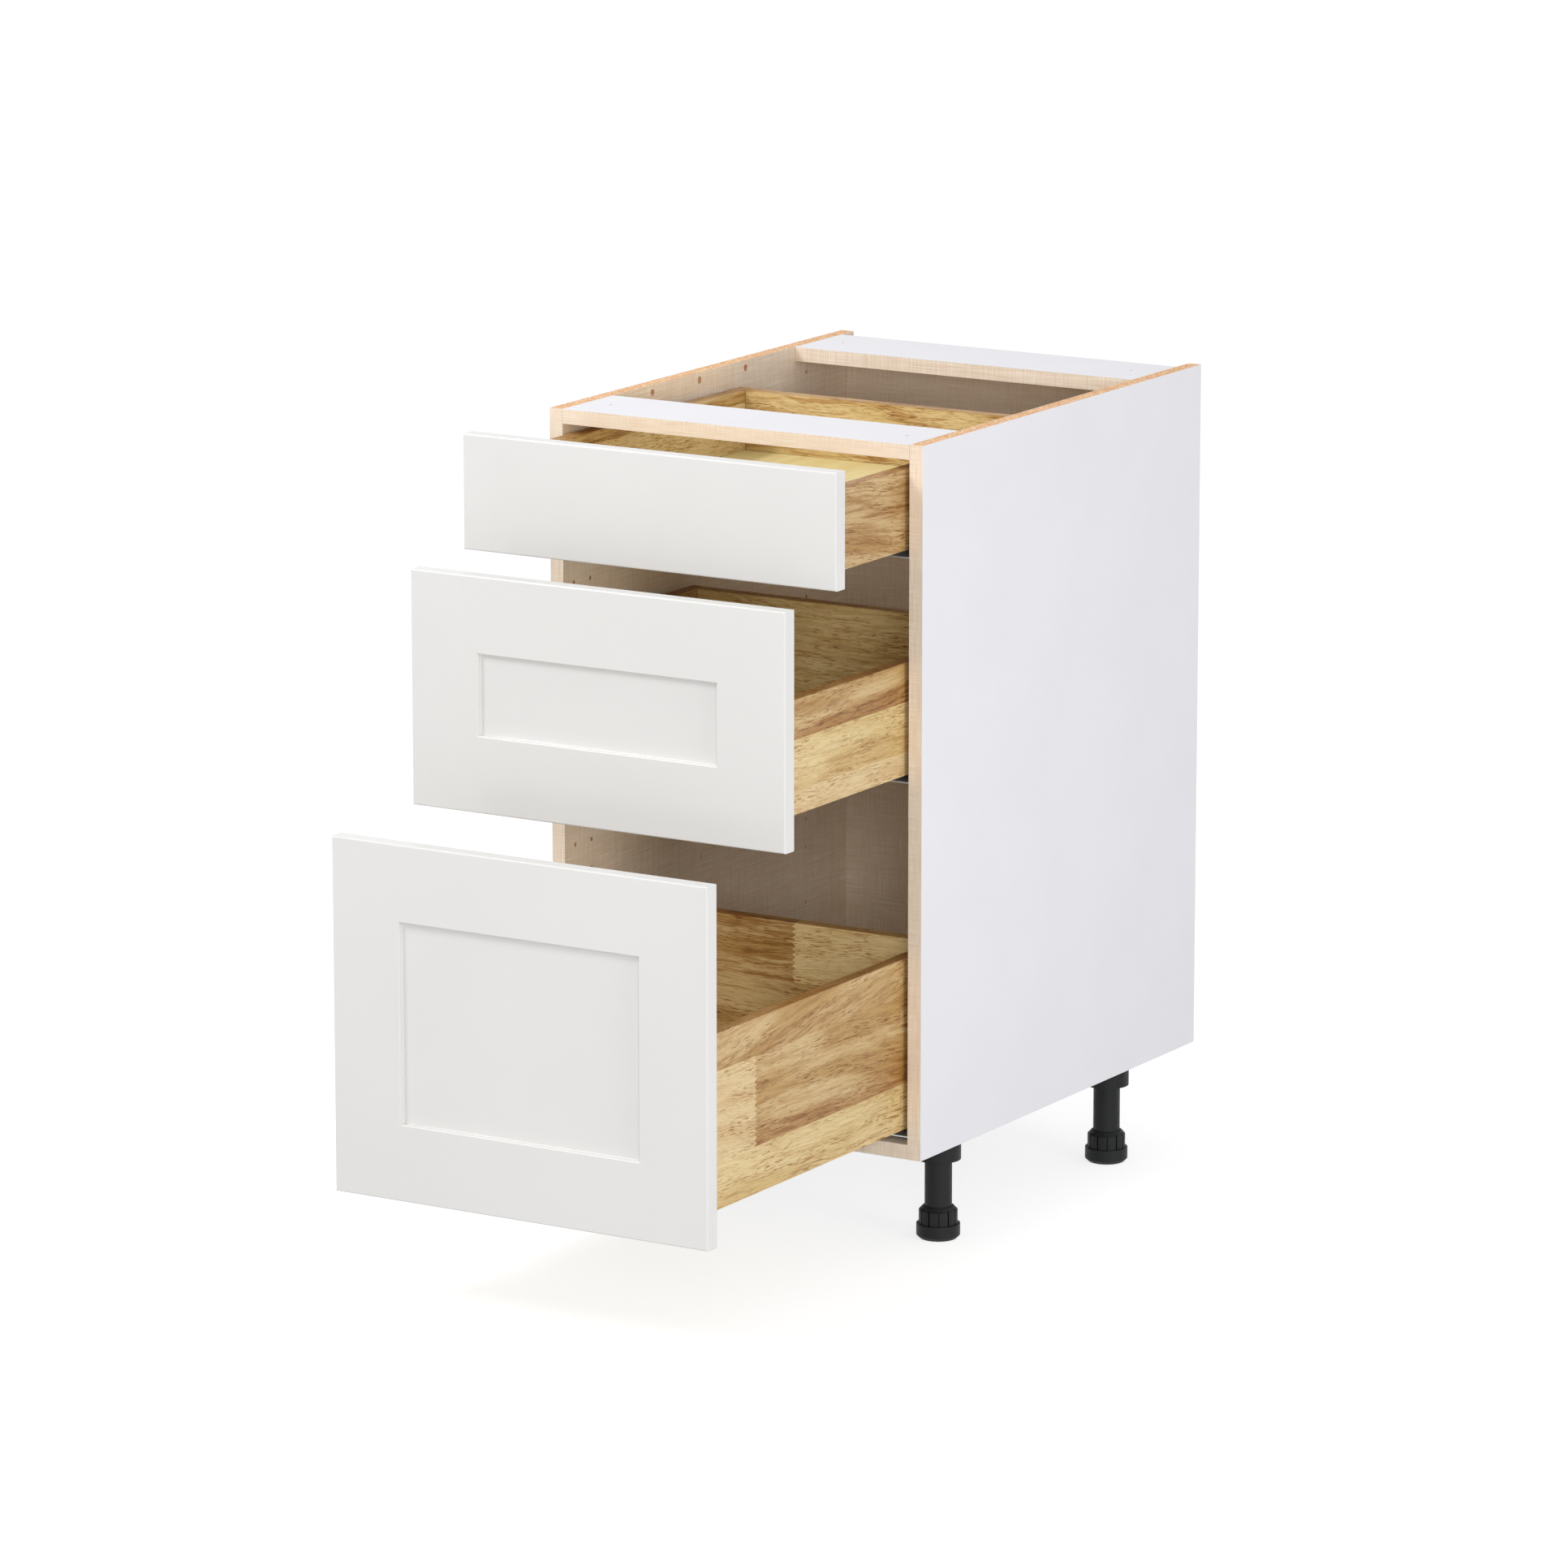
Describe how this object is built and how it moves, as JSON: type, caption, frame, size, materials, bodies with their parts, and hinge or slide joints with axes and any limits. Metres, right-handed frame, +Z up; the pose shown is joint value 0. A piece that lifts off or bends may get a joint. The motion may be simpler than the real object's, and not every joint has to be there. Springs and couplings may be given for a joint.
{
  "type": "base cabinet with drawers",
  "caption": "Frameless kitchen base cabinet on levelling legs, with pulled-out wooden drawers on telescopic undermount rails, painted fronts and an open top.",
  "frame": {"origin": "on the floor, in the middle of the box round the cabinet with its drawers pulled out as in the picture", "axes": "+X to the right seen from the front, +Y to the back, +Z up; the drawers pull out along -Y"},
  "size_m": [0.4572, 1.0238, 0.8763],
  "materials": {
    "melamine": "white melamine on particleboard, satin, with linen-look inner faces and edges",
    "linen_board": "linen-look melamine on particleboard, satin",
    "painted_front": "white paint, satin",
    "rubberwood": "clear lacquer on finger-jointed staves",
    "plywood": "clear lacquer",
    "zinc_steel": "bright zinc-plated sheet",
    "black_plastic": "moulded, fine satin",
    "grey_plastic": "moulded"
  },
  "bodies": {
    "carcase": {"left_side_panel": "melamine", "right_side_panel": "melamine", "bottom_panel": "linen_board", "back_panel": "linen_board", "front_stretcher": "melamine", "rear_stretcher": "melamine", "top_left_cabinet_rail": "zinc_steel", "top_right_cabinet_rail": "zinc_steel", "middle_left_cabinet_rail": "zinc_steel", "middle_right_cabinet_rail": "zinc_steel", "bottom_left_cabinet_rail": "zinc_steel", "bottom_right_cabinet_rail": "zinc_steel", "front_left_leg_socket": "black_plastic", "front_left_leg_column": "black_plastic", "rear_left_leg_socket": "black_plastic", "rear_left_leg_column": "black_plastic", "front_right_leg_socket": "black_plastic", "front_right_leg_column": "black_plastic", "rear_right_leg_socket": "black_plastic", "rear_right_leg_column": "black_plastic"},
    "top_drawer": {"top_drawer_front": "painted_front", "top_box_front": "rubberwood", "top_box_back": "rubberwood", "top_box_left_side": "rubberwood", "top_box_right_side": "rubberwood", "top_box_bottom": "plywood", "top_left_drawer_rail": "zinc_steel", "top_right_drawer_rail": "zinc_steel"},
    "top_middle_rails": {"top_left_middle_rail": "zinc_steel", "top_right_middle_rail": "zinc_steel"},
    "top_left_lever": {"top_left_release_lever": "grey_plastic"},
    "top_right_lever": {"top_right_release_lever": "grey_plastic"},
    "middle_drawer": {"middle_drawer_front": "painted_front", "middle_box_front": "rubberwood", "middle_box_back": "rubberwood", "middle_box_left_side": "rubberwood", "middle_box_right_side": "rubberwood", "middle_box_bottom": "plywood", "middle_left_drawer_rail": "zinc_steel", "middle_right_drawer_rail": "zinc_steel"},
    "middle_middle_rails": {"middle_left_middle_rail": "zinc_steel", "middle_right_middle_rail": "zinc_steel"},
    "middle_left_lever": {"middle_left_release_lever": "grey_plastic"},
    "middle_right_lever": {"middle_right_release_lever": "grey_plastic"},
    "bottom_drawer": {"bottom_drawer_front": "painted_front", "bottom_box_front": "rubberwood", "bottom_box_back": "rubberwood", "bottom_box_left_side": "rubberwood", "bottom_box_right_side": "rubberwood", "bottom_box_bottom": "plywood", "bottom_left_drawer_rail": "zinc_steel", "bottom_right_drawer_rail": "zinc_steel"},
    "bottom_middle_rails": {"bottom_left_middle_rail": "zinc_steel", "bottom_right_middle_rail": "zinc_steel"},
    "bottom_left_lever": {"bottom_left_release_lever": "grey_plastic"},
    "bottom_right_lever": {"bottom_right_release_lever": "grey_plastic"},
    "front_left_foot": {"front_left_leveling_foot": "black_plastic"},
    "rear_left_foot": {"rear_left_leveling_foot": "black_plastic"},
    "front_right_foot": {"front_right_leveling_foot": "black_plastic"},
    "rear_right_foot": {"rear_right_leveling_foot": "black_plastic"}
  },
  "joints": [
    {"name": "top_drawer_slide", "type": "slide", "parent": "carcase", "child": "top_drawer", "axis": [0, -1, 0], "range_m": [-0.15, 0.35]},
    {"name": "top_middle_rails_slide", "type": "slide", "parent": "carcase", "child": "top_middle_rails", "axis": [0, -1, 0], "range_m": [-0.075, 0.175]},
    {"name": "top_left_lever_pivot", "type": "hinge", "parent": "top_drawer", "child": "top_left_lever", "pos_m": [-0.1607, -0.21288, 0.7736], "axis": [0, 0, -1], "range_deg": [0, 10], "stiffness_Nm_per_rad": 0.05, "springref_deg": -5.73},
    {"name": "top_right_lever_pivot", "type": "hinge", "parent": "top_drawer", "child": "top_right_lever", "pos_m": [0.1607, -0.21288, 0.7736], "axis": [0, 0, 1], "range_deg": [0, 10], "stiffness_Nm_per_rad": 0.05, "springref_deg": -5.73},
    {"name": "middle_drawer_slide", "type": "slide", "parent": "carcase", "child": "middle_drawer", "axis": [0, -1, 0], "range_m": [-0.25, 0.25]},
    {"name": "middle_middle_rails_slide", "type": "slide", "parent": "carcase", "child": "middle_middle_rails", "axis": [0, -1, 0], "range_m": [-0.125, 0.125]},
    {"name": "middle_left_lever_pivot", "type": "hinge", "parent": "middle_drawer", "child": "middle_left_lever", "pos_m": [-0.1607, -0.31288, 0.5352], "axis": [0, 0, -1], "range_deg": [0, 10], "stiffness_Nm_per_rad": 0.05, "springref_deg": -5.73},
    {"name": "middle_right_lever_pivot", "type": "hinge", "parent": "middle_drawer", "child": "middle_right_lever", "pos_m": [0.1607, -0.31288, 0.5352], "axis": [0, 0, 1], "range_deg": [0, 10], "stiffness_Nm_per_rad": 0.05, "springref_deg": -5.73},
    {"name": "bottom_drawer_slide", "type": "slide", "parent": "carcase", "child": "bottom_drawer", "axis": [0, -1, 0], "range_m": [-0.4, 0.1]},
    {"name": "bottom_middle_rails_slide", "type": "slide", "parent": "carcase", "child": "bottom_middle_rails", "axis": [0, -1, 0], "range_m": [-0.2, 0.05]},
    {"name": "bottom_left_lever_pivot", "type": "hinge", "parent": "bottom_drawer", "child": "bottom_left_lever", "pos_m": [-0.1607, -0.46287, 0.1545], "axis": [0, 0, -1], "range_deg": [0, 10], "stiffness_Nm_per_rad": 0.05, "springref_deg": -5.73},
    {"name": "bottom_right_lever_pivot", "type": "hinge", "parent": "bottom_drawer", "child": "bottom_right_lever", "pos_m": [0.1607, -0.46287, 0.1545], "axis": [0, 0, 1], "range_deg": [0, 10], "stiffness_Nm_per_rad": 0.05, "springref_deg": -5.73},
    {"name": "front_left_foot_screw", "type": "slide", "parent": "carcase", "child": "front_left_foot", "axis": [0, 0, -1], "range_m": [-0.004, 0.015]},
    {"name": "rear_left_foot_screw", "type": "slide", "parent": "carcase", "child": "rear_left_foot", "axis": [0, 0, -1], "range_m": [-0.004, 0.015]},
    {"name": "front_right_foot_screw", "type": "slide", "parent": "carcase", "child": "front_right_foot", "axis": [0, 0, -1], "range_m": [-0.004, 0.015]},
    {"name": "rear_right_foot_screw", "type": "slide", "parent": "carcase", "child": "rear_right_foot", "axis": [0, 0, -1], "range_m": [-0.004, 0.015]}
  ],
  "couplings": [
    {"joint": "top_middle_rails_slide", "follows": "top_drawer_slide", "ratio": 0.5},
    {"joint": "middle_middle_rails_slide", "follows": "middle_drawer_slide", "ratio": 0.5},
    {"joint": "bottom_middle_rails_slide", "follows": "bottom_drawer_slide", "ratio": 0.5}
  ]
}
